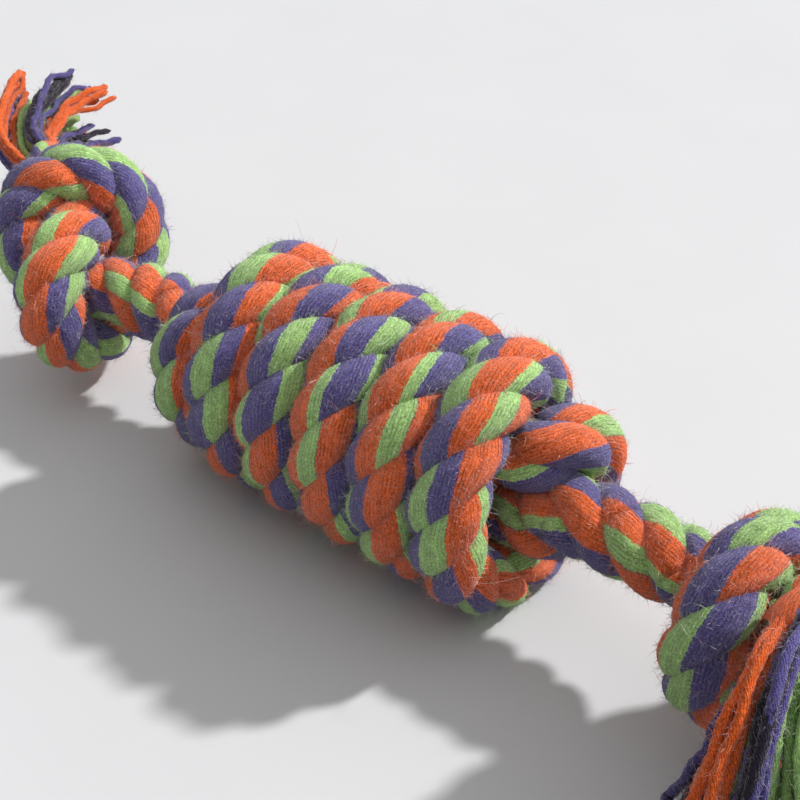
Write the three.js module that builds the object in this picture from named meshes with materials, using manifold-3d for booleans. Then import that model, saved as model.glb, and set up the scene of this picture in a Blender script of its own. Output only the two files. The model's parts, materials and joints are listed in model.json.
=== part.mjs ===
// Rope dog toy: one thick three-strand cotton rope, wound into a fat barrel knot in the middle,
// with an overhand knot and a frayed yarn tassel at each end.
// Millimetres, +Z up, the toy lies along X and rests on the flattened underside of the winding.
import * as THREE from 'three';
import Module from 'manifold-3d';
import { mergeVertices } from 'three/addons/utils/BufferGeometryUtils.js';

const wasm = await Module();
wasm.setup();

// Rope
const ropeDiameter = 16;
const seatGap = 0.3;

// Barrel winding, in the middle of the toy
const fullTurns = 4.5;
const turnGap = 0.5;
const coreGap = 0.8;
const pressedShare = 0.9;
const corePressedShare = 0.875;
const flatShare = 0.1;
const wrapPitch = ropeDiameter;
const wrapThickness = ropeDiameter * pressedShare;
const coreThickness = ropeDiameter * corePressedShare;
const coreOffset = (coreThickness + coreGap) / 2;
const wrapRadius = coreOffset + coreThickness / 2 + coreGap + wrapThickness / 2;
const axisHeight = wrapRadius + wrapThickness / 2 - ropeDiameter * flatShare;

// Past the last full turn the rope winds round the neck and dives into the core.
// Each row is degrees round the axis, run along it in pitches, and radius in wrap radii.
const collarShares = [
  [30, 0.08, 1],
  [60, 0.17, 0.995],
  [90, 0.26, 0.98],
  [120, 0.38, 0.93],
  [150, 0.52, 0.85],
  [175, 0.62, 0.76],
  [200, 0.67, 0.68],
  [222, 0.65, 0.615],
  [242, 0.57, 0.54],
  [257, 0.41, 0.43],
];
const diveTurn = 263;
const diveStartShare = 0.16;
const coreEndShare = 0.66;
const coreStraightShare = 0.35;
const coreTwistSteps = 6;
// Where the rope leaves the core for the neck: shares of the way, and of its distance off the axis
const coreLeavingShares = [
  [0, 1],
  [0.2, 0.94],
  [0.45, 0.78],
  [0.6, 0.42],
  [0.73, 0.16],
  [0.85, 0],
  [1, 0],
];
const coreSwellShares = [0.93, 1];

// Necks, end knots and tails
const neckLength = 14.4;
const neckStartShare = 1.32;
const knotReachShare = 2;
const knotThicknessShare = 0.82;
const knotPressShares = [0.03, 0.1];
const neckStart = fullTurns * wrapPitch / 2 + neckStartShare * ropeDiameter;
const knotMiddle = neckStart + neckLength + knotReachShare * ropeDiameter;

// Route of each end knot, placed by hand: rope diameters from the knot's middle, with x counted
// outwards. The rope comes in along the axis, loops round itself and tucks through its own loop.
const rightKnotShares = [
  [-2, 0, 0],
  [-1.3, -0.05, 0],
  [-0.8, -0.25, 0.1],
  [-0.35, -0.6, 0.25],
  [0.1, -0.9, 0.15],
  [0.5, -1, -0.25],
  [0.75, -0.75, -0.75],
  [0.75, -0.3, -1.05],
  [0.6, 0.25, -1],
  [0.3, 0.65, -0.75],
  [0, 0.75, -0.25],
  [-0.25, 0.6, 0.2],
  [-0.45, 0.3, 0.7],
  [-0.65, -0.1, 1],
  [-0.75, -0.65, 1.05],
  [-0.75, -1.15, 0.8],
  [-0.75, -1.4, 0.3],
  [-0.65, -1.25, -0.25],
  [-0.4, -0.9, -0.6],
  [-0.1, -0.4, -0.6],
  [0.25, -0.1, -0.25],
  [0.4, 0, 0.3],
  [0.3, -0.2, 0.8],
  [0.2, -0.7, 1.05],
];
const leftKnotShares = [
  [-2, 0, 0],
  [-1.5, 0.05, 0],
  [-0.85, 0.2, 0],
  [-0.25, 0.55, 0],
  [0.25, 0.7, 0.35],
  [0.55, 0.55, 0.95],
  [0.45, 0.1, 1.4],
  [0.1, -0.45, 1.5],
  [-0.3, -0.85, 1.15],
  [-0.5, -0.9, 0.5],
  [-0.55, -0.7, -0.1],
  [-0.55, -0.35, -0.65],
  [-0.65, 0.25, -0.9],
  [-0.7, 0.9, -0.75],
  [-0.8, 1.25, -0.2],
  [-0.75, 1.2, 0.45],
  [-0.6, 0.7, 0.85],
  [-0.25, 0.1, 0.8],
  [0.2, -0.3, 0.6],
  [0.7, -0.75, 0.75],
  [1.3, -0.95, 0.85],
];
const tailLength = 8;

// Tassels: three bundles of yarn for each strand, spreading along a middle route
const strandCount = 3;
const bundleColours = ['orange', 'green', 'purple'];
const strandSpreadShare = 0.26;
const bundleSpreadShare = 0.137;
const bundleRootShare = 0.09;
const bundleTip = 4.6;
const tasselLength = 52;
const tasselSpreadShare = 3;
const tasselOpeningShare = 1.5;
const rightTasselShares = [
  [0, 0, 0],
  [0.03, -0.21, -0.01],
  [0.09, -0.41, -0.17],
  [0.11, -0.48, -0.42],
  [0.11, -0.49, -0.67],
];
const leftTasselShares = [
  [0, 0, 0],
  [-0.19, 0.05, 0.04],
  [-0.37, 0.26, 0.08],
  [-0.5, 0.58, 0.04],
];

// What differs from end to end: which way its tail leaves, and how far its tassel rises as it opens
const ends = [
  {
    name: 'right',
    mirrored: false,
    knot: rightKnotShares,
    out: new THREE.Vector3(0, -1, 0),
    tassel: rightTasselShares,
    riseShare: 1.6,
  },
  {
    name: 'left',
    mirrored: true,
    knot: leftKnotShares,
    out: new THREE.Vector3(-1, 0, 0),
    tassel: leftTasselShares,
    riseShare: 1.9,
  },
];

// Steps and sides of the tubes
const loopSteps = 24;
const loopSides = 6;
const coreSides = 8;
const coreSteps = 26;
const knotSides = 10;
const knotSteps = 52;
const neckSides = 12;
const neckSteps = 5;
const tailSteps = 4;
const bundleSides = 6;
const bundleSteps = 9;

// Where the least gap of a closely wound tube is measured: how far apart along it two rings are
// before they count, in loops, and how many points are taken on each side of a ring
const gapLoopShare = 0.6;
const gapReachShare = 2;
const pointsPerSide = 4;

const colours = {
  rope: 0xd4582e,
  core: 0x8b5a4a,
  orange: 0xe2572c,
  green: 0x8cc46c,
  purple: 0x554c82,
};

function fabric(colour) {
  return new THREE.MeshStandardMaterial({ color: colour, roughness: 0.95, metalness: 0 });
}

function point(row, scale) {
  return new THREE.Vector3(row[0], row[1], row[2]).multiplyScalar(scale);
}

// A place round the toy's axis: 0 degrees faces the front, 90 is the top
function aroundAxis(along, radius, degrees) {
  const turn = THREE.MathUtils.degToRad(degrees);
  return new THREE.Vector3(along, -radius * Math.cos(turn), radius * Math.sin(turn));
}

function halfTurned(place) {
  return new THREE.Vector3(-place.x, -place.y, place.z);
}

function smoothRoute(places) {
  return new THREE.CatmullRomCurve3(places, false, 'centripetal');
}

function evenPlaces(places, steps) {
  return smoothRoute(places).getSpacedPoints(steps);
}

function carried(place, normal) {
  return normal;
}

function awayFromAxis(place) {
  return new THREE.Vector3(0, place.y, place.z).normalize();
}

// One closed tube: a ring of points round each place, joined, with a flat cap on each end.
// outline(share along, side) gives a ring point as a pair across the tube: normal, binormal.
// squareTo holds the directions that the first and last ring face, where they are set.
function tube(places, sides, outline, squareTo = {}, normalAt = carried) {
  const last = places.length - 1;
  const vertices = [];
  const faces = [];
  let normal = new THREE.Vector3(0, 0, 1);
  for (let i = 0; i <= last; i += 1) {
    const before = places[Math.max(i - 1, 0)];
    const after = places[Math.min(i + 1, last)];
    let tangent = after.clone().sub(before).normalize();
    if (i === 0 && squareTo.first) {
      tangent = squareTo.first;
    }
    if (i === last && squareTo.last) {
      tangent = squareTo.last;
    }
    normal = normalAt(places[i], normal).clone();
    normal.addScaledVector(tangent, -normal.dot(tangent)).normalize();
    const binormal = tangent.clone().cross(normal);
    for (let side = 0; side < sides; side += 1) {
      const [across, up] = outline(i / last, side);
      const corner = places[i].clone().addScaledVector(normal, across).addScaledVector(binormal, up);
      vertices.push(corner.x, corner.y, corner.z);
    }
  }
  for (let i = 0; i < last; i += 1) {
    for (let side = 0; side < sides; side += 1) {
      const next = (side + 1) % sides;
      const a = i * sides + side;
      const b = i * sides + next;
      const c = a + sides;
      const d = b + sides;
      faces.push(a, b, d, a, d, c);
    }
  }
  const end = last * sides;
  for (let side = 1; side < sides - 1; side += 1) {
    faces.push(0, side + 1, side);
    faces.push(end, end + side, end + side + 1);
  }
  const geometry = new THREE.BufferGeometry();
  geometry.setAttribute('position', new THREE.Float32BufferAttribute(vertices, 3));
  geometry.setIndex(faces);
  return geometry;
}

function roundOutline(sides, radius) {
  return (share, side) => {
    const turn = (2 * Math.PI * side) / sides;
    const size = typeof radius === 'function' ? radius(share) : radius;
    return [size * Math.cos(turn), size * Math.sin(turn)];
  };
}

// Route of the winding: the full turns by angle, then the same collar and dive at both ends
function collarPlaces() {
  const endRun = fullTurns * wrapPitch / 2;
  const endTurn = 90 - 180 * fullTurns;
  const places = [aroundAxis(endRun - wrapPitch / loopSteps, wrapRadius, endTurn + 360 / loopSteps)];
  places.push(aroundAxis(endRun, wrapRadius, endTurn));
  for (const [turned, run, radius] of collarShares) {
    places.push(aroundAxis(endRun + run * wrapPitch, radius * wrapRadius, endTurn - turned));
  }
  const diveStart = endRun + diveStartShare * wrapPitch;
  const diveEnd = endRun - coreEndShare * wrapPitch;
  for (const share of [0, 0.5, 1]) {
    const along = THREE.MathUtils.lerp(diveStart, diveEnd, share);
    places.push(aroundAxis(along, coreOffset, endTurn - diveTurn));
  }
  return places;
}

function collarRoute() {
  const places = collarPlaces();
  const curve = smoothRoute(places);
  const step = 2 * Math.PI * wrapRadius / loopSteps;
  const count = Math.round(curve.getLength() / step);
  return curve.getSpacedPoints(count).slice(1);
}

function windingRoute() {
  const steps = fullTurns * loopSteps;
  const turns = [];
  for (let i = 0; i <= steps; i += 1) {
    const share = i / steps - 1 / 2;
    turns.push(aroundAxis(-share * fullTurns * wrapPitch, wrapRadius, 90 + share * 360 * fullTurns));
  }
  const right = collarRoute();
  const left = right.map(halfTurned);
  return [...right.slice(1).reverse(), ...turns, ...left.slice(1)];
}

// Rounded six-sided section with a ridge facing out and a flat towards each neighbour
function windingOutline() {
  const thick = wrapThickness / 2;
  const wide = (wrapPitch - turnGap) / 2 / Math.cos(Math.PI / loopSides);
  return (share, side) => {
    const turn = (2 * Math.PI * side) / loopSides;
    return [thick * Math.cos(turn), wide * Math.sin(turn)];
  };
}

function windingGeometry(places) {
  return tube(places, loopSides, windingOutline(), {}, awayFromAxis);
}

function solid(geometry) {
  const bare = geometry.clone();
  bare.deleteAttribute('normal');
  bare.deleteAttribute('uv');
  const merged = mergeVertices(bare);
  const mesh = new wasm.Mesh({
    numProp: 3,
    vertProperties: new Float32Array(merged.attributes.position.array),
    triVerts: new Uint32Array(merged.index.array),
  });
  return new wasm.Manifold(mesh);
}

function geometryOf(body) {
  const mesh = body.getMesh();
  const geometry = new THREE.BufferGeometry();
  geometry.setAttribute('position', new THREE.BufferAttribute(new Float32Array(mesh.vertProperties), 3));
  geometry.setIndex(new THREE.BufferAttribute(new Uint32Array(mesh.triVerts), 1));
  return geometry;
}

// The ridges under the winding are pressed flat where the toy rests
function pressedFlat(geometry) {
  const room = new THREE.Box3().setFromBufferAttribute(geometry.attributes.position);
  const size = room.expandByScalar(ropeDiameter).getSize(new THREE.Vector3());
  const floor = new THREE.BoxGeometry(size.x, size.y, size.z);
  floor.translate(0, 0, -axisHeight - size.z / 2);
  return geometryOf(solid(geometry).subtract(solid(floor)));
}

// Points spread over the outside of one piece of tube, between a ring and the next
function pointsOnRing(position, sides, ring) {
  const corner = (at, side) => {
    return new THREE.Vector3().fromBufferAttribute(position, at * sides + (side % sides));
  };
  const points = [];
  for (let side = 0; side < sides; side += 1) {
    for (let part = 0; part < pointsPerSide; part += 1) {
      const around = part / pointsPerSide;
      const here = corner(ring, side).lerp(corner(ring, side + 1), around);
      const beyond = corner(ring + 1, side).lerp(corner(ring + 1, side + 1), around);
      points.push(here, here.clone().lerp(beyond, 1 / 2));
    }
  }
  return points;
}

function leastDistance(some, others) {
  let least = Infinity;
  for (const one of some) {
    for (const other of others) {
      least = Math.min(least, one.distanceTo(other));
    }
  }
  return least;
}

// Least gap of a tube to itself, measured between points on rings that are not neighbours
function leastGap(geometry, sides, apart) {
  const position = geometry.attributes.position;
  const rings = [];
  for (let ring = 0; ring < position.count / sides - 1; ring += 1) {
    rings.push(pointsOnRing(position, sides, ring));
  }
  const near = gapReachShare * ropeDiameter;
  let least = Infinity;
  rings.forEach((points, i) => {
    for (const others of rings.slice(i + apart)) {
      if (points[0].distanceTo(others[0]) < near) {
        least = Math.min(least, leastDistance(points, others));
      }
    }
  });
  return least;
}

// Both runs of rope inside the winding: straight at each dive, twisted round each other between
function corePlaces() {
  const endRun = fullTurns * wrapPitch / 2;
  const endTurn = 90 - 180 * fullTurns;
  const meet = endRun - coreEndShare * wrapPitch;
  const leaving = endTurn - diveTurn - 180;
  const start = 180 - (endTurn - diveTurn);
  const twist = ((leaving - start) % 360 + 540) % 360 - 180;
  const twistRun = meet - coreStraightShare * ropeDiameter;
  const places = [aroundAxis(-meet + seatGap, coreOffset, start)];
  for (let i = 0; i <= coreTwistSteps; i += 1) {
    const share = i / coreTwistSteps;
    const along = THREE.MathUtils.lerp(-twistRun, twistRun, share);
    places.push(aroundAxis(along, coreOffset, start + twist * share));
  }
  for (const [run, off] of coreLeavingShares) {
    places.push(aroundAxis(THREE.MathUtils.lerp(endRun, neckStart, run), coreOffset * off, leaving));
  }
  return places;
}

function alongAxis(mirrored) {
  return new THREE.Vector3(mirrored ? -1 : 1, 0, 0);
}

function coreGeometry(mirrored) {
  const places = evenPlaces(corePlaces(), coreSteps);
  const route = mirrored ? places.map(halfTurned) : places;
  const free = ropeDiameter / 2;
  const pressed = coreThickness / 2;
  const radius = (share) => {
    return THREE.MathUtils.lerp(pressed, free, THREE.MathUtils.smoothstep(share, ...coreSwellShares));
  };
  const squareTo = { first: alongAxis(mirrored), last: alongAxis(mirrored) };
  return tube(route, coreSides, roundOutline(coreSides, radius), squareTo);
}

function neckGeometry(mirrored) {
  const ends = [neckStart + seatGap, neckStart + neckLength - seatGap];
  const places = evenPlaces(ends.map((along) => new THREE.Vector3(along, 0, 0)), neckSteps);
  const route = mirrored ? places.map(halfTurned) : places;
  return tube(route, neckSides, roundOutline(neckSides, ropeDiameter / 2));
}

// Moves an end knot's route from its own middle to its place on the toy
function knotPlaces(end) {
  const places = end.knot.map((row) => {
    const place = point(row, ropeDiameter);
    return place.setX(place.x + knotMiddle);
  });
  return end.mirrored ? places.map(halfTurned) : places;
}

function knotGeometry(end) {
  const route = evenPlaces(knotPlaces(end), knotSteps);
  const free = ropeDiameter / 2;
  const pressed = ropeDiameter * knotThicknessShare / 2;
  const radius = (share) => {
    return THREE.MathUtils.lerp(free, pressed, THREE.MathUtils.smoothstep(share, ...knotPressShares));
  };
  const squareTo = { first: alongAxis(end.mirrored), last: end.out };
  return tube(route, knotSides, roundOutline(knotSides, radius), squareTo);
}

function tailEnds(end) {
  const start = knotPlaces(end).at(-1).addScaledVector(end.out, seatGap);
  return [start, start.clone().addScaledVector(end.out, tailLength)];
}

function tailGeometry(end) {
  const radius = ropeDiameter * knotThicknessShare / 2;
  return tube(evenPlaces(tailEnds(end), tailSteps), knotSides, roundOutline(knotSides, radius));
}

// One bundle of yarn: its root sits in the rope's end and its tip spreads with the others
function bundleGeometry(strand, bundle, end) {
  const root = tailEnds(end)[1].addScaledVector(end.out, seatGap);
  const middle = evenPlaces(end.tassel.map((row) => root.clone().add(point(row, tasselLength))), bundleSteps);
  const strandTurn = (2 * Math.PI * strand) / strandCount;
  const bundleTurn = strandTurn + (2 * Math.PI * (bundle + 1 / 2)) / bundleColours.length;
  const acrossShare = strandSpreadShare * Math.cos(strandTurn) + bundleSpreadShare * Math.cos(bundleTurn);
  const upShare = strandSpreadShare * Math.sin(strandTurn) + bundleSpreadShare * Math.sin(bundleTurn);
  const side = new THREE.Vector3(0, 0, 1).cross(end.out);
  const route = middle.map((place, i) => {
    const share = i / bundleSteps;
    const before = middle[Math.max(i - 1, 0)];
    const after = middle[Math.min(i + 1, bundleSteps)];
    const tangent = i === 0 ? end.out : after.clone().sub(before).normalize();
    side.addScaledVector(tangent, -side.dot(tangent)).normalize();
    const up = tangent.clone().cross(side);
    const opening = share ** tasselOpeningShare;
    const wide = THREE.MathUtils.lerp(1, tasselSpreadShare, opening) * ropeDiameter;
    const tall = THREE.MathUtils.lerp(1, end.riseShare, opening) * ropeDiameter;
    return place.clone().addScaledVector(side, acrossShare * wide).addScaledVector(up, upShare * tall);
  });
  const rootRadius = bundleRootShare * ropeDiameter;
  const radius = (share) => THREE.MathUtils.lerp(rootRadius, bundleTip / 2, Math.sin(share * Math.PI / 2));
  return tube(route, bundleSides, roundOutline(bundleSides, radius), { first: end.out });
}

const toy = new THREE.Group();

function add(name, geometry, colour) {
  const mesh = new THREE.Mesh(geometry, fabric(colour));
  mesh.name = name;
  toy.add(mesh);
}

const winding = windingGeometry(windingRoute());
const windingGap = leastGap(winding, loopSides, Math.ceil(gapLoopShare * loopSteps));
console.log('least gap between turns of the winding, mm:', windingGap.toFixed(2));
add('barrel_winding', pressedFlat(winding), colours.rope);
add('core_rope_to_right_end', coreGeometry(false), colours.core);
add('core_rope_to_left_end', coreGeometry(true), colours.core);
for (const end of ends) {
  add(`${end.name}_neck`, neckGeometry(end.mirrored), colours.rope);
  add(`${end.name}_knot`, knotGeometry(end), colours.rope);
  add(`${end.name}_tail`, tailGeometry(end), colours.rope);
  for (let strand = 0; strand < strandCount; strand += 1) {
    bundleColours.forEach((colour, bundle) => {
      const geometry = bundleGeometry(strand, bundle, end);
      add(`${end.name}_tassel_strand_${strand + 1}_${colour}`, geometry, colours[colour]);
    });
  }
}

// Stands the toy on its flat with the origin under the middle of its outer box
const outerBox = new THREE.Box3().setFromObject(toy);
const boxMiddle = outerBox.getCenter(new THREE.Vector3());
toy.position.set(-boxMiddle.x, -boxMiddle.y, -outerBox.min.z);

export default toy;
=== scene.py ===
"""Rope dog toy: one thick three-strand cotton rope, wound into a barrel knot in the middle, with an
overhand knot and a frayed yarn tassel at each end. Metres, +Z up, the toy lies along X."""
import json
import math
from typing import NamedTuple

import bpy
import numpy as np
from bpy.props import FloatProperty, FloatVectorProperty, IntProperty, PointerProperty
from mathutils import Vector
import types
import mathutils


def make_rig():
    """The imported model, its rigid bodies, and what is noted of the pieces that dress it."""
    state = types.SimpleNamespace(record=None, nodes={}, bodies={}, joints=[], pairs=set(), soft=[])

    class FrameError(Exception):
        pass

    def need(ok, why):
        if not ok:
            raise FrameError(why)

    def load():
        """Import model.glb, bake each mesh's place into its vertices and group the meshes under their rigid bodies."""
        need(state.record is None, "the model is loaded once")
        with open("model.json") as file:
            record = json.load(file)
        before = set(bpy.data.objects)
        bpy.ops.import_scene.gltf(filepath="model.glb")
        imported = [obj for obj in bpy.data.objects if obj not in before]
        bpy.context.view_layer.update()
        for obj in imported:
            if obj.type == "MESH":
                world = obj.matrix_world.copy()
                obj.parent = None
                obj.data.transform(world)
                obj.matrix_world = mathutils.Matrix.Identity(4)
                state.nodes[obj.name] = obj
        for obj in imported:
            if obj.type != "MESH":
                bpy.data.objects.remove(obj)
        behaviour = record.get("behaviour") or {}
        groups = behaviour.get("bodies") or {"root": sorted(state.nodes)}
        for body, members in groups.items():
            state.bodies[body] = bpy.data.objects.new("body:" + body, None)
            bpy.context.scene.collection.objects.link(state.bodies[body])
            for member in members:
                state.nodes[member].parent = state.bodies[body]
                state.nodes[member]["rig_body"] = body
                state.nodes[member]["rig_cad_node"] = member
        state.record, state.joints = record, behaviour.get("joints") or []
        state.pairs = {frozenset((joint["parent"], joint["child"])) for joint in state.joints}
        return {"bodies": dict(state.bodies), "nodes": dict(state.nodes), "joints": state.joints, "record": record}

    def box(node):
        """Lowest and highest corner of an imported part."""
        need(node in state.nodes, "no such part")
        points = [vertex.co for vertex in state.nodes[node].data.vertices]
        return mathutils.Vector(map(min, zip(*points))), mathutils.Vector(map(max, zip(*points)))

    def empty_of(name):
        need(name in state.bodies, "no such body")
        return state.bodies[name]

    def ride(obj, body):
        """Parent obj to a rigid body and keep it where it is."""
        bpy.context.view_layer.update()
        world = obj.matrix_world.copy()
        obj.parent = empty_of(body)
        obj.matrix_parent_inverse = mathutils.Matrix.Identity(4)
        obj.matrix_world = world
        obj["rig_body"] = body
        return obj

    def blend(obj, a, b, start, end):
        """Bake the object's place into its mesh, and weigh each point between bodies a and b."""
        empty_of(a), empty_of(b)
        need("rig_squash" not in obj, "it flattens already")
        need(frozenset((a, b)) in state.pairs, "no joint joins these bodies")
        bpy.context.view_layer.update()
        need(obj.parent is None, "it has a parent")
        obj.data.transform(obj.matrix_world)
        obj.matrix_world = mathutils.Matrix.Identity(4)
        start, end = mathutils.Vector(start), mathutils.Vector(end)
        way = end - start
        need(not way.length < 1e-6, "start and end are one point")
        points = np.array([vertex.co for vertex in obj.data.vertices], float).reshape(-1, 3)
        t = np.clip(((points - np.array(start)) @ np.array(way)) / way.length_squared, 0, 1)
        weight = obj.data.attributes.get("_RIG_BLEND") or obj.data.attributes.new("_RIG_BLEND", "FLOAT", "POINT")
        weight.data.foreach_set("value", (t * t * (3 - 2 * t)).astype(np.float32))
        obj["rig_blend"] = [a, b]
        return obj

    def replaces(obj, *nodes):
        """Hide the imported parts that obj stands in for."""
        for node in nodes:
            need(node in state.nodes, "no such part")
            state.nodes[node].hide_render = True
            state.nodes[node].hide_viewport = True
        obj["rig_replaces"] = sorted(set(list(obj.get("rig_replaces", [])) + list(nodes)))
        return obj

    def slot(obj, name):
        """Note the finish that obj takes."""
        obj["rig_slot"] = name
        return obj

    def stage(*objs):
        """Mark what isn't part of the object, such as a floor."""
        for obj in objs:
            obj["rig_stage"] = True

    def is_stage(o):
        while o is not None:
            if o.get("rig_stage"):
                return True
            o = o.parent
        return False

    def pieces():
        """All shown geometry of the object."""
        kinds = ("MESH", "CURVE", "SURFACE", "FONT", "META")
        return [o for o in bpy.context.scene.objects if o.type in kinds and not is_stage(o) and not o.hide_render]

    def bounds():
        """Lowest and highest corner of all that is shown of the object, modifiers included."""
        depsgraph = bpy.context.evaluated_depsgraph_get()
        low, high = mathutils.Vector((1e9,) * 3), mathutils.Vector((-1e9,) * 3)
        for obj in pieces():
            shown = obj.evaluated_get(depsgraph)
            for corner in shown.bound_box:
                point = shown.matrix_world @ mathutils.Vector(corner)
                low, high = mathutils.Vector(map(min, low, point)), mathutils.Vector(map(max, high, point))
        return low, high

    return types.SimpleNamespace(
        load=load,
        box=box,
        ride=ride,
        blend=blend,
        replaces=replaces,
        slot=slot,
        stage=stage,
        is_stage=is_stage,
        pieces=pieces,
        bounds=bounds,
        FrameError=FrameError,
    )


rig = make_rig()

bl_info = {
    "name": "Rope dog toy",
    "version": (1, 0, 0),
    "blender": (4, 5, 0),
    "location": "3D View > Sidebar > Rope Toy",
    "description": "Makes the strands, knots, tassels and stray fibres of a cotton rope dog toy",
    "category": "Object",
}

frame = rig.load()
cad_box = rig.bounds()

# Sizes of the tied rope, as the solid model has them
SEAT_GAP = 0.0003
FULL_TURNS = 4.5
CORE_GAP = 0.0008
PRESSED_SHARE = 0.9
CORE_PRESSED_SHARE = 0.875
NECK_LENGTH = 0.0144
TAIL_LENGTH = 0.008
TASSEL_LENGTH = 0.052
BUNDLE_TIP_RADIUS = 0.0023

# Turns in degrees, and shares of the rope's diameter or of the wrap radius, as the solid has them
COLLAR_SHARES = (
    (30, 0.08, 1), (60, 0.17, 0.995), (90, 0.26, 0.98), (120, 0.38, 0.93), (150, 0.52, 0.85),
    (175, 0.62, 0.76), (200, 0.67, 0.68), (222, 0.65, 0.615), (242, 0.57, 0.54), (257, 0.41, 0.43),
)
DIVE_TURN = 263
DIVE_START_SHARE = 0.16
DIVE_POINTS = 3
LEAD_TURN = 15
CORE_END_SHARE = 0.66
CORE_STRAIGHT_SHARE = 0.35
CORE_TWIST_STEPS = 6
CORE_LEAVING_SHARES = ((0, 1), (0.2, 0.94), (0.45, 0.78), (0.6, 0.42), (0.73, 0.16), (0.85, 0), (1, 0))
NECK_START_SHARE = 1.32
KNOT_REACH_SHARE = 2
RIGHT_KNOT_SHARES = (
    (-2, 0, 0), (-1.3, -0.05, 0), (-0.8, -0.25, 0.1), (-0.35, -0.6, 0.25), (0.1, -0.9, 0.15),
    (0.5, -1, -0.25), (0.75, -0.75, -0.75), (0.75, -0.3, -1.05), (0.6, 0.25, -1),
    (0.3, 0.65, -0.75), (0, 0.75, -0.25), (-0.25, 0.6, 0.2), (-0.45, 0.3, 0.7), (-0.65, -0.1, 1),
    (-0.75, -0.65, 1.05), (-0.75, -1.15, 0.8), (-0.75, -1.4, 0.3), (-0.65, -1.25, -0.25),
    (-0.4, -0.9, -0.6), (-0.1, -0.4, -0.6), (0.25, -0.1, -0.25), (0.4, 0, 0.3), (0.3, -0.2, 0.8),
    (0.2, -0.7, 1.05),
)
LEFT_KNOT_SHARES = (
    (-2, 0, 0), (-1.5, 0.05, 0), (-0.85, 0.2, 0), (-0.25, 0.55, 0), (0.25, 0.7, 0.35),
    (0.55, 0.55, 0.95), (0.45, 0.1, 1.4), (0.1, -0.45, 1.5), (-0.3, -0.85, 1.15), (-0.5, -0.9, 0.5),
    (-0.55, -0.7, -0.1), (-0.55, -0.35, -0.65), (-0.65, 0.25, -0.9), (-0.7, 0.9, -0.75),
    (-0.8, 1.25, -0.2), (-0.75, 1.2, 0.45), (-0.6, 0.7, 0.85), (-0.25, 0.1, 0.8), (0.2, -0.3, 0.6),
    (0.7, -0.75, 0.75), (1.3, -0.95, 0.85),
)
RIGHT_TASSEL_SHARES = (
    (0, 0, 0), (0.03, -0.21, -0.01), (0.09, -0.41, -0.17), (0.11, -0.48, -0.42),
    (0.11, -0.49, -0.67),
)
LEFT_TASSEL_SHARES = ((0, 0, 0), (-0.19, 0.05, 0.04), (-0.37, 0.26, 0.08), (-0.5, 0.58, 0.04))
STRAND_SPREAD_SHARE = 0.26
BUNDLE_SPREAD_SHARE = 0.137
TASSEL_SPREAD_SHARE = 3
TASSEL_OPENING_SHARE = 1.5

# How thick the laid rope shows, in rope diameters: it swells where it is free
CORE_SWELL_SHARE = 0.95
WINDING_WIDE_SHARE = 1.08
WINDING_TALL_SHARE = 0.98
FREE_START_SHARE = 0.3
FREE_END_SHARE = 1.45

# Rope's lay: strands, and how finely each is drawn
STRAND_COUNT = 3
STRAND_SIDES = 32
STRAND_STEP = 0.0014
ROUTE_STEP = 0.0005
CURVE_PARTS = 24
TURN_PARTS = 120
TAIL_PARTS = 8
STRAND_RADIUS_SHARE = 0.275
STRAND_OFFSET_SHARE = 0.235
START_TURN_SHARE = 0.35
FRAME_SMOOTHING = 0.004
PRESS_SMOOTHING = 0.006
NECK_BLEND_REACH = 0.0065

# A strand's slow change of thickness: its size, and each sine's beats and its step between strands
UNEVEN_SHARE = 0.03
UNEVEN_SINES = ((211, 2.1), (347, 4.3), (563, 1.7))

# Loose yarns of a tassel: how they are drawn, laid out in their bundle, waved and cut
YARN_STEPS = 44
YARN_SIDES = 12
PLY_COUNT = 3
PLY_LOBE_SHARE = 0.2
PLY_TWIST_LENGTH = 0.0042
PLY_TWIST_SHARES = (0.9, 1.15)
SEED_TURN = 2.4
SEED_STRAY = 0.8
BUNDLE_START_SHARE = 0.45
BUNDLE_GROWTH_SHARE = 1.35
WAVE_BEATS = (1.3, 2.6, 4.7)
WAVE_CALMING = 0.6
WAVE_SHARES = (0.3, 1.0)
WAVE_SIZE_SHARE = 0.7
WAVE_RISE = 1.6
FLOOR_GAP_SHARE = 0.8
YARN_LENGTH_SHARES = (0.8, 1.04)
YARN_WIDTH_SHARES = (0.7, 1.2)
ROOT_SHARE = 0.05
GROWN_SHARE = 0.12
ROOT_WIDTH_SHARE = 0.55
TIP_SHARE = 0.03
TIP_WIDTH_SHARE = 0.3
STRAND_YARN_NUMBERS = 31

# A loose yarn's rings start square to this direction, so they pinch for a step where it runs along it
YARN_ASIDE = (0.31, 0.17, 0.93)

# Stray fibres: rings drawn along each, how many times rarer than the spacing, and shares of the length
SHORT_FIBRES = {"rings": 2, "rarity": 1, "shortest_share": 0.1, "longest_share": 0.56}
LONG_FIBRES = {"rings": 6, "rarity": 70, "shortest_share": 0.3, "longest_share": 1.1}
FIBRE_SIDES = 3
FIBRE_SHORTNESS = 2
FIBRE_LIFT_SHARES = (0.5, 2.2)
FIBRE_BEND_SHARE = 0.55
FIBRE_DROOP_SHARE = 0.55
FIBRE_SHRINK_SHARE = 0.25
FIBRE_TAPER_SHARE = 0.9
FIBRE_REACH_ROUND = 1.7
FIBRE_HIDDEN_SHARE = -0.25
FIBRE_DYE_SHARES = (0.7, 1.25)
FIBRE_WORN_SHARES = (0.2, 0.6)
WORN_COTTON = "#E8E0DC"

# Small steps along and round a strand, which show how its surface lies at a fibre's root
PROBE_RUN = 0.0001
PROBE_TURN = 0.02

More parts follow.
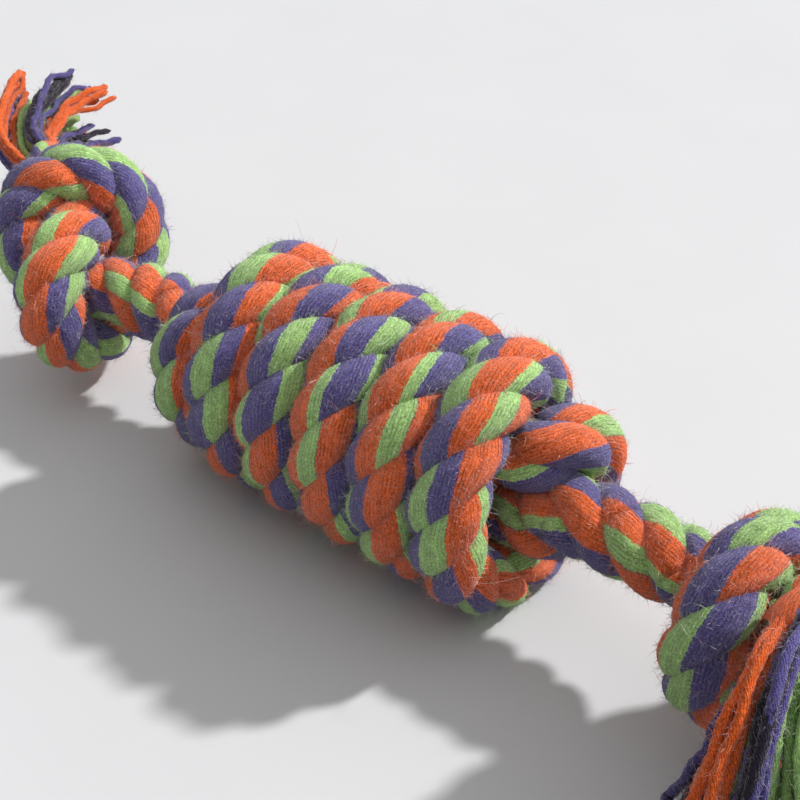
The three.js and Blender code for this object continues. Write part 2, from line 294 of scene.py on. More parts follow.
# How many objects hold the short fibres of one stretch, and how many fibres stand on a loose yarn
FIBRE_PIECES = {"barrel": 5, "cores": 1, "necks": 1, "knots": 2, "tails": 0}
YARN_FIBRES = 330

# Pattern sizes: how far apart clumps and threads lie, how many go round, and how deep they are
YARN_WANDER_SIZE = 0.005882
FRAYED_EDGE_SIZE = 0.0003846
FUZZ_PATCH_SIZE = 0.002381
FUZZ_CLUMP_SIZE = 0.0007692
STREAK_LENGTH = 0.001
STREAKS_ROUND = 280.0
LOOSE_STRAY_SIZE = 0.002
LOOSE_FUZZ_SIZE = 0.0005263
THREAD_RUN = 0.001111
THREADS_ROUND = 12.0
FIBRE_PATCH_SIZE = 0.0025
FLOOR_MOTTLE_SIZE = 0.05556
ROPE_RELIEF = 0.00055
LOOSE_RELIEF = 0.0003

# Camera and light, placed round the toy's middle
CAMERA_PLACE = (0.1292, -0.1585, 0.1976)
CAMERA_TILT = math.radians(50.98)
CAMERA_TURN = math.radians(37.7)
CAMERA_LENS = 51.75
CAMERA_NEAR = 0.01
SENSOR_WIDTH = 36.0
WINDOW_DIRECTION = (0.5, 0.976, 0.88)
WINDOW_ANGLE = math.radians(3.5)
WINDOW_STRENGTH = 3.95
CEILING_DIRECTION = (0.25, 0.45, 1.0)
CEILING_ANGLE = math.radians(110.0)
CEILING_STRENGTH = 1.3
FILL_STRENGTH = 0.3
BACKDROP_STRENGTH = 0.86
FLOOR_REACH = 3.0

BUNDLE_COLOURS = ("orange", "green", "purple")
TASSEL_SEED = 7
FIBRE_SEED = 11


class End(NamedTuple):
    """One end of the toy: its knot's route, the way its tail leaves, how its tassel falls and rises,
    and how far the rope swells in its neck and its knot."""

    name: str
    mirrored: bool
    knot: tuple
    out: np.ndarray
    tassel: tuple
    rise_share: float
    neck_swell_share: float
    knot_swell_share: float


TOWARDS_FRONT = np.array((0.0, -1.0, 0.0))
TOWARDS_LEFT = np.array((-1.0, 0.0, 0.0))
ENDS = (
    End("right", False, RIGHT_KNOT_SHARES, TOWARDS_FRONT, RIGHT_TASSEL_SHARES, 1.6, 1.12, 0.92),
    End("left", True, LEFT_KNOT_SHARES, TOWARDS_LEFT, LEFT_TASSEL_SHARES, 1.9, 1.24, 1.07),
)


def linear(text):
    """Turns an sRGB hex colour into linear red, green and blue."""
    values = np.array([int(text[i:i + 2], 16) for i in (1, 3, 5)]) / 255
    return tuple(np.where(values <= 0.04045, values / 12.92, ((values + 0.055) / 1.055) ** 2.4))


def metres(label, text, size):
    """A length among the settings."""
    return FloatProperty(name=label, description=text, default=size, unit="LENGTH")


def hex_colour(label, text, colour):
    """A colour among the settings."""
    return FloatVectorProperty(name=label, description=text, subtype="COLOR", default=linear(colour))


class RopeSizes(bpy.types.PropertyGroup):
    """Sizes of the rope and of its yarns."""

    diameter: metres("Rope diameter", "Thickness of the laid rope", 0.016)
    lay: metres("Lay length", "Run of rope in which a strand goes once round", 0.0285)
    winding_lay: metres("Lay in the barrel", "The same, where the rope is wound and stretched", 0.0325)
    yarn_twist: metres("Yarn twist", "Run of rope in which a yarn goes once round its strand", 0.0146)
    yarns: IntProperty(
        name="Yarns round a strand", description="Yarns that show round one strand", default=30)


class TasselSizes(bpy.types.PropertyGroup):
    """Sizes of the frayed ends."""

    yarns: IntProperty(name="Yarns in a bundle", description="Loose yarns of one colour", default=6)
    yarn_diameter: metres("Yarn diameter", "Thickness of a loose yarn", 0.0019)
    wave: metres("Yarn wave", "How far a loose yarn strays", 0.0016)


class FibreSizes(bpy.types.PropertyGroup):
    """Sizes of the stray fibres that stand off the cotton."""

    spacing: metres("Fibre spacing", "Run for each short fibre", 0.000008)
    length: metres("Fibre length", "Longest common stray fibre", 0.005)
    thickness: metres("Fibre thickness", "Thickness at the root", 0.0001)


class YarnColours(bpy.types.PropertyGroup):
    """Dyed cotton colours."""

    orange: hex_colour("Orange", "Orange yarn", "#F87034")
    green: hex_colour("Green", "Leaf green yarn", "#B2DD86")
    purple: hex_colour("Purple", "Blue-violet yarn", "#665E9A")
    charcoal: hex_colour("Charcoal", "Dark inner yarn of the tassels", "#3A3442")


# Routes


def curve_through(points):
    """A smooth curve through the points: on each span a cubic whose end slopes come from the four
    points round it, with spans timed by the square root of their lengths."""
    p = np.asarray(points, float)
    p = np.vstack([2 * p[0] - p[1], p, 2 * p[-1] - p[-2]])
    a, b, c, d = p[:-3], p[1:-2], p[2:-1], p[3:]
    before = np.sqrt(np.linalg.norm(b - a, axis=1))[:, None]
    inside = np.sqrt(np.linalg.norm(c - b, axis=1))[:, None]
    after = np.sqrt(np.linalg.norm(d - c, axis=1))[:, None]
    first = ((b - a) / before - (c - a) / (before + inside) + (c - b) / inside) * inside
    last = ((c - b) / inside - (d - b) / (inside + after) + (d - c) / after) * inside
    t = (np.arange(CURVE_PARTS) / CURVE_PARTS)[None, :, None]
    b, c, first, last = b[:, None], c[:, None], first[:, None], last[:, None]
    bent = (3 * (c - b) - 2 * first - last) * t ** 2
    places = b + first * t + bent + (2 * (b - c) + first + last) * t ** 3
    return np.vstack([places.reshape(-1, 3), p[-2]])


def run_along(places):
    """How far along a line each of its places lies."""
    return np.concatenate([[0], np.cumsum(np.linalg.norm(np.diff(places, axis=0), axis=1))])


def read_between(at, along, values):
    """Rows of values known at some distances, read between them."""
    return np.stack([np.interp(at, along, column) for column in values.T], axis=-1)


def unit(rows):
    """The same directions, each of length one."""
    return rows / np.linalg.norm(rows, axis=-1, keepdims=True)


def carried(tangent, start):
    """One side direction carried along a line, always square to it and never spinning about it."""
    side = np.zeros_like(tangent)
    current = np.array(start, float)
    for i, ahead in enumerate(tangent):
        current = current - ahead * (current @ ahead)
        current /= np.linalg.norm(current)
        side[i] = current
    return side


def around_axis(along, radius, degrees):
    """Places round the toy's axis: 0 degrees faces the front, 90 is the top."""
    turn = np.radians(degrees)
    along, radius, turn = np.broadcast_arrays(along, radius, turn)
    return np.stack([along, -radius * np.cos(turn), radius * np.sin(turn)], axis=-1)


def half_turned(places):
    """The same places turned half round about the vertical."""
    return np.asarray(places) * (-1, -1, 1)


def core_offset(d):
    """Distance of each core rope's middle from the toy's axis."""
    return (d * CORE_PRESSED_SHARE + CORE_GAP) / 2


def wrap_radius(d):
    """Distance of a wrap's middle from the toy's axis."""
    return core_offset(d) + d * CORE_PRESSED_SHARE / 2 + CORE_GAP + d * PRESSED_SHARE / 2


def winding_places(d):
    """The helix of full turns, with the collar that shrinks and dives into the core at each end."""
    end_run = FULL_TURNS * d / 2
    end_turn = 90 - 180 * FULL_TURNS
    radius = wrap_radius(d)
    rows = np.array(COLLAR_SHARES)
    collar = around_axis(end_run + rows[:, 1] * d, rows[:, 2] * radius, end_turn - rows[:, 0])
    dive_run = end_run + np.linspace(DIVE_START_SHARE, -CORE_END_SHARE, DIVE_POINTS) * d
    dive = around_axis(dive_run, core_offset(d), end_turn - DIVE_TURN)
    lead = around_axis(end_run - d * LEAD_TURN / 360, radius, end_turn + LEAD_TURN)
    start = around_axis(end_run, radius, end_turn)
    right = curve_through(np.vstack([lead, start, collar, dive]))[CURVE_PARTS + 1:]
    share = np.linspace(-0.5, 0.5, int(FULL_TURNS * TURN_PARTS))
    turns = around_axis(-share * FULL_TURNS * d, radius, 90 + share * 360 * FULL_TURNS)
    return np.vstack([right[::-1], turns, half_turned(right)])


def core_places(d):
    """The run inside the winding, from the left dive to the right neck: it turns evenly round the
    toy's axis at a steady offset, and then comes in to the axis, which the neck lies on."""
    end_run = FULL_TURNS * d / 2
    end_turn = 90 - 180 * FULL_TURNS
    meet = end_run - CORE_END_SHARE * d
    leaving = end_turn - DIVE_TURN - 180
    start = 180 - (end_turn - DIVE_TURN)
    twist = (math.fmod(leaving - start, 360) + 540) % 360 - 180
    share = np.linspace(0, 1, CORE_TWIST_STEPS + 1)
    reach = meet - CORE_STRAIGHT_SHARE * d
    twisted = around_axis((2 * share - 1) * reach, core_offset(d), start + twist * share)
    rows = np.array(CORE_LEAVING_SHARES)
    out_run = end_run + rows[:, 0] * NECK_START_SHARE * d
    out = around_axis(out_run, core_offset(d) * rows[:, 1], leaving)
    first = around_axis(-meet + SEAT_GAP, core_offset(d), start)
    return curve_through(np.vstack([first, twisted, out]))


def neck_start(d):
    """Where the right neck starts along the toy."""
    return FULL_TURNS * d / 2 + NECK_START_SHARE * d


def knot_middle(d):
    """Where the right end knot's middle lies along the toy."""
    return neck_start(d) + NECK_LENGTH + KNOT_REACH_SHARE * d


def knot_places(d, end):
    """An end knot's route: in along the axis, round the listed overhand loop, out at the side."""
    places = curve_through(np.array(end.knot) * d + (knot_middle(d), 0, 0))
    return half_turned(places) if end.mirrored else places


def tail_places(d, end):
    """The tail, straight out of the knot, drawn a little past its end so that its tip lies square."""
    share = np.linspace(0, 1, TAIL_PARTS + 1)[1:, None]
    return knot_places(d, end)[-1] + share * end.out * (TAIL_LENGTH + d / 2)


def smoothed(values, reach):
    """Running mean over the reach, weighted towards the middle, with the ends held."""
    half = max(int(reach / ROUTE_STEP), 1)
    weights = np.hanning(2 * half + 3)[1:-1]
    padded = np.pad(values, [(half, half)] + [(0, 0)] * (values.ndim - 1), mode="edge")
    kernel = weights / weights.sum()
    columns = padded.reshape(len(padded), -1).T
    return np.stack([np.convolve(c, kernel, "valid") for c in columns], axis=1).reshape(values.shape)


class Rope:
    """The whole rope from the left tail's end to the right tail's: its middle line at even steps, a
    frame that doesn't spin about it, the strands' turn, and how much it is squeezed and flattened."""

    def __init__(self, sizes):
        d = sizes.diameter
        core = core_places(d)
        right, left = ENDS
        runs = [
            ("left_tail", tail_places(d, left)[::-1]),
            ("left_knot", knot_places(d, left)[::-1]),
            ("left_core", half_turned(core)[::-1]),
            ("winding", winding_places(d)),
            ("right_core", core),
            ("right_knot", knot_places(d, right)),
            ("right_tail", tail_places(d, right)),
        ]
        self.diameter = d
        self.sizes = sizes
        self.place_route(runs)
        self.press_and_lay()

    def place_route(self, runs):
        """Joins the stretches, places points at even steps along them and carries a frame along."""
        places = np.vstack([p for _, p in runs])
        lengths = run_along(places)
        ends = np.cumsum([len(p) for _, p in runs])
        self.start = {}
        self.end = {}
        for (name, points), end in zip(runs, ends):
            self.start[name] = lengths[end - len(points)]
            self.end[name] = lengths[end - 1]
        self.along = np.arange(0, lengths[-1], ROUTE_STEP)
        self.place = read_between(self.along, lengths, places)
        tangent = unit(smoothed(np.gradient(self.place, axis=0), FRAME_SMOOTHING))
        self.side = carried(tangent, (0, 0, 1))
        self.across = np.cross(tangent, self.side)

    def within(self, name):
        """Where the route is inside a named stretch."""
        return (self.along >= self.start[name]) & (self.along <= self.end[name])

    def stretch_share(self, values, other):
        """One value for each named stretch, smoothed where they meet."""
        share = np.full(len(self.along), float(other))
        for name, value in values.items():
            share[self.within(name)] = value
        return smoothed(share, PRESS_SMOOTHING)

    def press_and_lay(self):
        """Sets how the rope's section is squeezed and how far its strands have turned."""
        d = self.diameter
        swells = {f"{end.name}_core": CORE_SWELL_SHARE for end in ENDS}
        swells["winding"] = WINDING_WIDE_SHARE
        for end in ENDS:
            swells[f"{end.name}_knot"] = swells[f"{end.name}_tail"] = end.knot_swell_share
        squeeze = self.stretch_share(swells, 1)
        out = np.abs(self.place[:, 0])
        free = (out > FULL_TURNS * d / 2 + FREE_START_SHARE * d) & ~self.within("winding")
        free &= out < knot_middle(d) - FREE_END_SHARE * d
        for end in ENDS:
            own_side = free & ((self.place[:, 0] < 0) == end.mirrored)
            squeeze = np.where(own_side, end.neck_swell_share, squeeze)
        self.squeeze = smoothed(squeeze, PRESS_SMOOTHING)
        self.flat = self.stretch_share({"winding": WINDING_TALL_SHARE / WINDING_WIDE_SHARE}, 1)
        radial = self.place * (0, 1, 1)
        self.away = radial / np.maximum(np.linalg.norm(radial, axis=1), ROUTE_STEP)[:, None]
        lay = self.stretch_share({"winding": self.sizes.winding_lay}, self.sizes.lay)
        self.lay = smoothed(lay, PRESS_SMOOTHING)
        self.turn = np.cumsum(2 * np.pi * ROUTE_STEP / self.lay) + 2 * np.pi * START_TURN_SHARE

    def at(self, along, values):
        """A value of the route, read between its steps."""
        if values.ndim == 1:
            return np.interp(along, self.along, values)
        return read_between(along, self.along, values)

    def section_place(self, along, across, up):
        """Where a point of the rope's section lies: the middle line's place plus across and up along
        the carried frame, squeezed, and flattened away from the toy's axis."""
        offset = across[..., None] * self.at(along, self.side)
        offset += up[..., None] * self.at(along, self.across)
        offset *= self.at(along, self.squeeze)[..., None]
        away = self.at(along, self.away)
        outward = (offset * away).sum(-1, keepdims=True)
        offset += (self.at(along, self.flat)[..., None] - 1) * outward * away
        return self.at(along, self.place) + offset


def strand_section(rope, along, strand, around):
    """The surface of one strand: its middle goes round the rope's at a steady offset, and a ring of
    the strand's radius stands square to it, a little uneven by three sines that never fall in step.
    around is 0 where the strand faces out of the rope. It is pressed flat where it meets the floor."""
    d = rope.diameter
    offset = d * STRAND_OFFSET_SHARE
    wander = sum(np.sin(along * beats + strand * step) for beats, step in UNEVEN_SINES)
    radius = d * STRAND_RADIUS_SHARE * (1 + UNEVEN_SHARE * wander / len(UNEVEN_SINES))
    turn = rope.at(along, rope.turn) + 2 * np.pi * strand / STRAND_COUNT
    lean = np.arctan(2 * np.pi * offset / rope.at(along, rope.lay))
    out = offset + radius * np.cos(around)
    sideways = radius * np.sin(around) * np.cos(lean)
    across = out * np.cos(turn) - sideways * np.sin(turn)
    up = out * np.sin(turn) + sideways * np.cos(turn)
    places = rope.section_place(along - radius * np.sin(around) * np.sin(lean), across, up)
    places[..., 2] = np.maximum(places[..., 2], -toy_origin()[2])
    return places


def strand_grid(rope, start, end, strand):
    """One strand between two places along the rope, as a grid of rings, with its two pattern maps."""
    steps = max(int(round((end - start) / STRAND_STEP)), 2)
    along = np.linspace(start, end, steps + 1)[:, None]
    around = 2 * np.pi * np.arange(STRAND_SIDES)[None, :] / STRAND_SIDES
    places = strand_section(rope, *np.broadcast_arrays(along, strand, around))
    return places, *pattern_maps(along, STRAND_SIDES, rope.sizes.yarn_twist, strand)


# Meshes


def pattern_maps(run, sides, twist_length, number):
    """A tube's two pattern maps, which the materials read: the share round it with the twists along
    it, and the tube's number with the run along it."""
    turns = np.broadcast_to(np.arange(sides + 1) / sides, (len(run), sides + 1))
    run = np.broadcast_to(run, turns.shape)
    yarn = np.stack([turns, run / twist_length], axis=-1)
    return yarn, np.stack([np.full(turns.shape, float(number)), run], axis=-1)


def grid_faces(rings, sides, offset):
    """Corner numbers of the quads between neighbouring rings, going once round."""
    ring, side = np.meshgrid(np.arange(rings - 1) * sides, np.arange(sides), indexing="ij")
    beyond = (side + 1) % sides
    corners = [ring + side, ring + beyond, ring + sides + beyond, ring + sides + side]
    return np.stack(corners, axis=-1).reshape(-1, 4) + offset


def corner_values(values):
    """The pattern map at the four corners of each quad; the last column closes the seam."""
    corners = [values[:-1, :-1], values[:-1, 1:], values[1:, 1:], values[1:, :-1]]
    return np.stack(corners, axis=2).reshape(-1, 2)


def mesh_object(name, vertices, groups):
    """One object from points and groups of faces, each group as rows of corner numbers."""
    sizes = np.concatenate([np.full(len(group), group.shape[1]) for group in groups])
    mesh = bpy.data.meshes.new(name)
    mesh.vertices.add(len(vertices))
    mesh.vertices.foreach_set("co", (vertices + toy_origin()).astype(np.float32).ravel())
    mesh.loops.add(sizes.sum())
    loops = np.concatenate([group.ravel() for group in groups])
    mesh.loops.foreach_set("vertex_index", loops.astype(np.int32))
    mesh.polygons.add(len(sizes))
    mesh.polygons.foreach_set("loop_start", (np.cumsum(sizes) - sizes).astype(np.int32))
    mesh.update(calc_edges=True)
    made = bpy.data.objects.new(name, mesh)
    bpy.context.scene.collection.objects.link(made)
    return made


def tube_object(name, tubes):
    """One object from closed tubes. Each tube is a grid of rings with its maps, and gets a flat face
    on each end."""
    quads, caps = [], []
    count = 0
    for places, *_ in tubes:
        rings, sides = places.shape[:2]
        ring = np.arange(sides)[None]
        quads.append(grid_faces(rings, sides, count))
        caps += [count + ring[:, ::-1], count + (rings - 1) * sides + ring]
        count += rings * sides
    vertices = np.vstack([places.reshape(-1, 3) for places, *_ in tubes])
    quads = np.vstack(quads)
    made = mesh_object(name, vertices, [quads, *caps])
    made.data.polygons.foreach_set("use_smooth", np.arange(len(quads) + len(caps)) < len(quads))
    for index, map_name in enumerate(("yarn", "strand"), 1):
        body = [corner_values(tube[index]) for tube in tubes]
        ends = [np.repeat(tube[index][[0, -1], 0], tube[0].shape[1], axis=0) for tube in tubes]
        layer = made.data.uv_layers.new(name=map_name)
        layer.uv.foreach_set("vector", np.vstack(body + ends).astype(np.float32).ravel())
    return made


def toy_origin():
    """The toy's own middle on its axis, read from the two necks of the solid model."""
    corners = np.array([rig.box("right_neck"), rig.box("left_neck")])
    return corners.mean(axis=(0, 1))


def finished(piece, material, slot, bodies, bend=None, nodes=()):
    """Gives a piece its material and record slot, and lets it ride on a body or bend between two."""
    piece.data.materials.append(material)
    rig.slot(piece, slot)
    if not bend:
        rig.ride(piece, *bodies)
    if nodes:
        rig.replaces(piece, *nodes)
    if bend:
        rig.blend(piece, *bodies, **bend)


# Materials


ADD = {"operation": "ADD"}
SUBTRACT = {"operation": "SUBTRACT"}
MULTIPLY = {"operation": "MULTIPLY"}
MULTIPLY_ADD = {"operation": "MULTIPLY_ADD"}
DIVIDE = {"operation": "DIVIDE"}
POWER = {"operation": "POWER"}
MAXIMUM = {"operation": "MAXIMUM"}
FRACT = {"operation": "FRACT"}
FLOOR = {"operation": "FLOOR"}
SINE = {"operation": "SINE"}
SCALE = {"operation": "SCALE"}


def node(tree, kind, inputs=(), settings=None):
    """Adds a node, sets its settings, and gives its inputs values or links, in order or by name. A
    node that is given as a value stands for its first output."""
    made = tree.nodes.new("ShaderNode" + kind)
    for name, value in (settings or {}).items():
        setattr(made, name, value)
    rows = inputs if isinstance(inputs, dict) else dict(enumerate(inputs))
    for key, value in rows.items():
        if isinstance(value, bpy.types.Node):
            value = value.outputs[0]
        if isinstance(value, bpy.types.NodeSocket):
            tree.links.new(value, made.inputs[key])
        else:
            made.inputs[key].default_value = value
    return made


def material_of(context, draw, *values):
    """The material that a function draws, named after it. It is drawn when it is first asked for."""
    name = "_".join((draw.__name__, *values))
    material = bpy.data.materials.get(name)
    if material is None:
        material = bpy.data.materials.new(name)
        material.use_nodes = True
        tree = material.node_tree
        tree.nodes.clear()
        node(tree, "OutputMaterial", (draw(context, tree, *values),))
    return material


def cotton(tree, surface):
    """Soft spun cotton: almost no glint, and a pale glow of fine fibres at grazing angles."""
    return node(tree, "BsdfPrincipled", {
        "Roughness": 0.9, "Specular IOR Level": 0.06, "Sheen Weight": 0.32, "Sheen Roughness": 0.3,
        **surface})


def strand_sectors(colours):
    """How the dyed yarns lie round each strand: the share of the ramp where each colour starts."""
    o, g, p = tuple(colours.orange), tuple(colours.green), tuple(colours.purple)
    strands = (
        ((0, o), (0.34, p), (0.58, g), (0.8, p)),
        ((0, g), (0.26, o), (0.56, g), (0.68, p)),
        ((0, o), (0.3, p), (0.58, o), (0.8, g)),
    )
    return [((k + share) / STRAND_COUNT, c) for k, rows in enumerate(strands) for share, c in rows]


def sector_dye(context, tree, strand, turn):
    """The dye of a strand's yarns, changing at once from one sector to the next."""
    sector = node(tree, "Math", (strand, turn), ADD)
    ramp = node(tree, "ValToRGB", (node(tree, "Math", (sector, float(STRAND_COUNT)), DIVIDE),))
    ramp.color_ramp.interpolation = "CONSTANT"
    stops = ramp.color_ramp.elements
    for index, (start, colour) in enumerate(strand_sectors(context.scene.toy_colours)):
        stop = stops[0] if index == 0 else stops.new(start)
        stop.position = start
        stop.color = (*colour, 1)
    stops.remove(stops[-1])
    return ramp


def map_values(tree, name):
    """The two values of a pattern map."""
    parts = node(tree, "SeparateXYZ", (node(tree, "UVMap", settings={"uv_map": name}),))
    return parts.outputs[0], parts.outputs[1]


def laid_cotton_rope(context, tree):
    """Laid cotton rope: dyed yarns side by side in each strand, each a fine two-ply thread, with soft
    fuzz that pales the colour in small patches. The grooves between yarns are darkened as painted
    shade, and the pale fuzz tint is mixed in only on the yarns' crests, partly pale fibres and partly
    a painted highlight. The yarn lines lie nearly along the rope."""
    place = node(tree, "TexCoord").outputs["Object"]
    round_strand, twists = map_values(tree, "yarn")
    strand, run = map_values(tree, "strand")
    # Yarns wander a little from their line, and fibres cross a colour's edge by a few tenths of a mm
    stray = node(tree, "TexNoise", {"Vector": place, "Scale": 1 / YARN_WANDER_SIZE, "Detail": 2.0})
    frayed = node(tree, "TexNoise", {"Vector": place, "Scale": 1 / FRAYED_EDGE_SIZE, "Detail": 2.0})
    wander = node(tree, "Math", (stray, 0.06, -0.03), MULTIPLY_ADD)
    rough = node(tree, "Math", (frayed, 0.07, -0.035), MULTIPLY_ADD)
    straight = node(tree, "Math", (round_strand, twists), ADD)
    laid = node(tree, "Math", (straight, wander), ADD)
    turn = node(tree, "Math", (node(tree, "Math", (laid, rough), ADD),), FRACT)
    once = node(tree, "Math", (laid,), FRACT)
    counted = node(tree, "Math", (once, float(context.scene.toy_rope.yarns)), MULTIPLY)
    cell = node(tree, "Math", (counted,), FLOOR)
    inside = node(tree, "Math", (counted,), FRACT)
    # Groove between two yarns, 0 on a yarn's crest and 1 beside it, lost here and there under fuzz
    slope = node(tree, "Math", (inside, 2.0, -1.0), MULTIPLY_ADD)
    steep = node(tree, "Math", (slope, slope), MULTIPLY)
    deep = node(tree, "Math", (steep, 1.8), POWER)
    patch = node(tree, "TexNoise", {"Vector": place, "Scale": 1 / FUZZ_PATCH_SIZE, "Detail": 2.0})
    shown = node(tree, "MapRange", (patch, 0.4, 0.66, 0.1, 1.0))
    groove = node(tree, "Math", (deep, shown), MULTIPLY)
    # Fibres drawn along the yarn: streaks about 0.1 mm wide and 1 mm long
    streak_place = node(tree, "CombineXYZ", (
        node(tree, "Math", (laid, STREAKS_ROUND), MULTIPLY),
        node(tree, "Math", (run, 1 / STREAK_LENGTH), MULTIPLY),
        node(tree, "Math", (strand, 7.0), MULTIPLY)))
    streak = node(tree, "TexNoise", {
        "Vector": streak_place, "Scale": 1.0, "Detail": 2.0, "Roughness": 0.6, "Distortion": 0.6})
    # Fuzz: curled fibres in clumps, drawn a little coarser than real so that they show
    fuzz = node(tree, "TexNoise", {
        "Vector": place, "Scale": 1 / FUZZ_CLUMP_SIZE, "Detail": 3.0, "Roughness": 0.8,
        "Distortion": 2.5})
    own_number = node(tree, "Math", (strand, 57.0, cell), MULTIPLY_ADD)
    lot = node(tree, "TexWhiteNoise", {"W": own_number}, {"noise_dimensions": "1D"})
    # Painted shade: the colour is darkened in the grooves between yarns, where shade falls
    even = node(tree, "Math", (groove, -0.5, 0.91), MULTIPLY_ADD)
    shade = node(tree, "Math", (lot, 0.22, even), MULTIPLY_ADD)
    grain = node(tree, "Math", (streak, 0.35, fuzz), MULTIPLY_ADD)
    strong = node(tree, "Math", (grain, 4.0, -1.7), MULTIPLY_ADD)
    speckle = node(tree, "Math", (strong, 0.66), MAXIMUM)
    shade = node(tree, "Math", (shade, speckle), MULTIPLY)
    dye = sector_dye(context, tree, strand, turn)
    dyed = node(tree, "VectorMath", {0: dye, "Scale": shade}, SCALE)
    # Painted highlight, partly real: a pale tint mixed in where the fuzz is bright on the yarns' crests, standing
    # partly for pale fibres and partly for light caught on the crests
    crest = node(tree, "Math", (1.0, groove), SUBTRACT)
    lit = node(tree, "Math", (fuzz, crest), MULTIPLY)
    pale = node(tree, "MapRange", (lit, 0.48, 0.72, 0.0, 0.34))
    worn = (*linear("#E2DAD4"), 1)
    mixed = node(tree, "Mix", {0: pale, 6: dyed, 7: worn}, {"data_type": "RGBA"})
    height = node(tree, "Math", (groove, -0.6), MULTIPLY)
    height = node(tree, "Math", (streak, 0.6, height), MULTIPLY_ADD)
    height = node(tree, "Math", (fuzz, 0.6, height), MULTIPLY_ADD)
    bump = node(tree, "Bump", {"Height": height, "Distance": ROPE_RELIEF, "Strength": 1.0})
    return cotton(tree, {"Base Color": mixed.outputs[2], "Normal": bump})


def loose_cotton_yarn(context, tree, colour_name):
    """Loose cotton yarn of a frayed end: plies twisted together, with painted shade in the grooves between their
    threads.
    """
    place = node(tree, "TexCoord").outputs["Object"]
    round_yarn, _ = map_values(tree, "yarn")
    number, run = map_values(tree, "strand")
    # Fine threads lie at a slant along the yarn and are lost under fuzz
    stray = node(tree, "TexNoise", {"Vector": place, "Scale": 1 / LOOSE_STRAY_SIZE, "Detail": 2.0})
    along = node(tree, "Math", (run, 1 / THREAD_RUN), MULTIPLY)
    thread = node(tree, "Math", (round_yarn, THREADS_ROUND, along), MULTIPLY_ADD)
    thread = node(tree, "Math", (stray, 3.0, thread), MULTIPLY_ADD)
    wave = node(tree, "Math", (node(tree, "Math", (thread, 2 * math.pi), MULTIPLY),), SINE)
    ridge = node(tree, "Math", (wave, stray), MULTIPLY)
    fuzz = node(tree, "TexNoise", {
        "Vector": place, "Scale": 1 / LOOSE_FUZZ_SIZE, "Detail": 3.0, "Roughness": 0.7,
        "Distortion": 1.0})
    lot = node(tree, "TexWhiteNoise", {"W": number}, {"noise_dimensions": "1D"})
    # Painted light and shade: the colour is lighter on the threads' ridges and darker in the grooves between them
    shade = node(tree, "Math", (ridge, 0.3, 0.6), MULTIPLY_ADD)
    shade = node(tree, "Math", (lot, 0.25, shade), MULTIPLY_ADD)
    speckle = node(tree, "Math", (fuzz, 2.6, -0.3), MULTIPLY_ADD)
    shade = node(tree, "Math", (shade, speckle), MULTIPLY)
    colour = tuple(getattr(context.scene.toy_colours, colour_name))
    dyed = node(tree, "VectorMath", {0: colour, "Scale": shade}, SCALE)
    height = node(tree, "Math", (ridge, 0.3, fuzz), MULTIPLY_ADD)
    bump = node(tree, "Bump", {"Height": height, "Distance": LOOSE_RELIEF, "Strength": 1.0})
    return cotton(tree, {"Base Color": dyed, "Normal": bump})


def stray_cotton_fibre(context, tree):
    """Single cotton fibres: the yarn's own colour, paler where they catch the light."""
    place = node(tree, "TexCoord").outputs["Object"]
    dye = node(tree, "Attribute", settings={"attribute_name": "dye"})
    patch = node(tree, "TexNoise", {"Vector": place, "Scale": 1 / FIBRE_PATCH_SIZE})
    shade = node(tree, "Math", (patch, 0.5, 0.8), MULTIPLY_ADD)
    return cotton(tree, {"Base Color": node(tree, "VectorMath", {0: dye, "Scale": shade}, SCALE)})


def pale_studio_board(context, tree):
    """Matt pale studio board, very slightly mottled over tens of millimetres."""
    place = node(tree, "TexCoord").outputs["Object"]
    mottle = node(tree, "TexNoise", {"Vector": place, "Scale": 1 / FLOOR_MOTTLE_SIZE, "Detail": 3.0})
    ramp = node(tree, "ValToRGB", (mottle,))
    for stop, colour in zip(ramp.color_ramp.elements, ("#C4C4C5", "#CACACB")):
        stop.color = (*linear(colour), 1)
    return node(tree, "BsdfPrincipled", {
        "Base Color": ramp, "Roughness": 0.7, "Specular IOR Level": 0.2})


# Tassels


def bundle_frame(rope, strand, bundle, end):
    """The middle line of one yarn bundle, with its side and up directions and its opening share: it
    leaves the tail square, then strays from the tassel's middle line as that opens."""
    d = rope.diameter
    root = knot_places(d, end)[-1] + end.out * (2 * SEAT_GAP + TAIL_LENGTH)
    middle = curve_through(root + np.array(end.tassel) * TASSEL_LENGTH)
    run = run_along(middle)
    share = np.linspace(0, 1, YARN_STEPS)
    middle = read_between(share * run[-1], run, middle)
    tangent = np.gradient(middle, axis=0)
    tangent[0] = end.out
    tangent = unit(tangent)
    side = carried(tangent, np.cross((0, 0, 1), end.out))
    up = np.cross(tangent, side)
    strand_turn = 2 * np.pi * strand / STRAND_COUNT
    bundle_turn = strand_turn + 2 * np.pi * (bundle + 0.5) / len(BUNDLE_COLOURS)
    across = STRAND_SPREAD_SHARE * np.cos(strand_turn) + BUNDLE_SPREAD_SHARE * np.cos(bundle_turn)
    lift = STRAND_SPREAD_SHARE * np.sin(strand_turn) + BUNDLE_SPREAD_SHARE * np.sin(bundle_turn)
    opening = share ** TASSEL_OPENING_SHARE
    wide = (1 + (TASSEL_SPREAD_SHARE - 1) * opening)[:, None] * d
    tall = (1 + (end.rise_share - 1) * opening)[:, None] * d
    return middle + across * wide * side + lift * tall * up, tangent, side, up, share


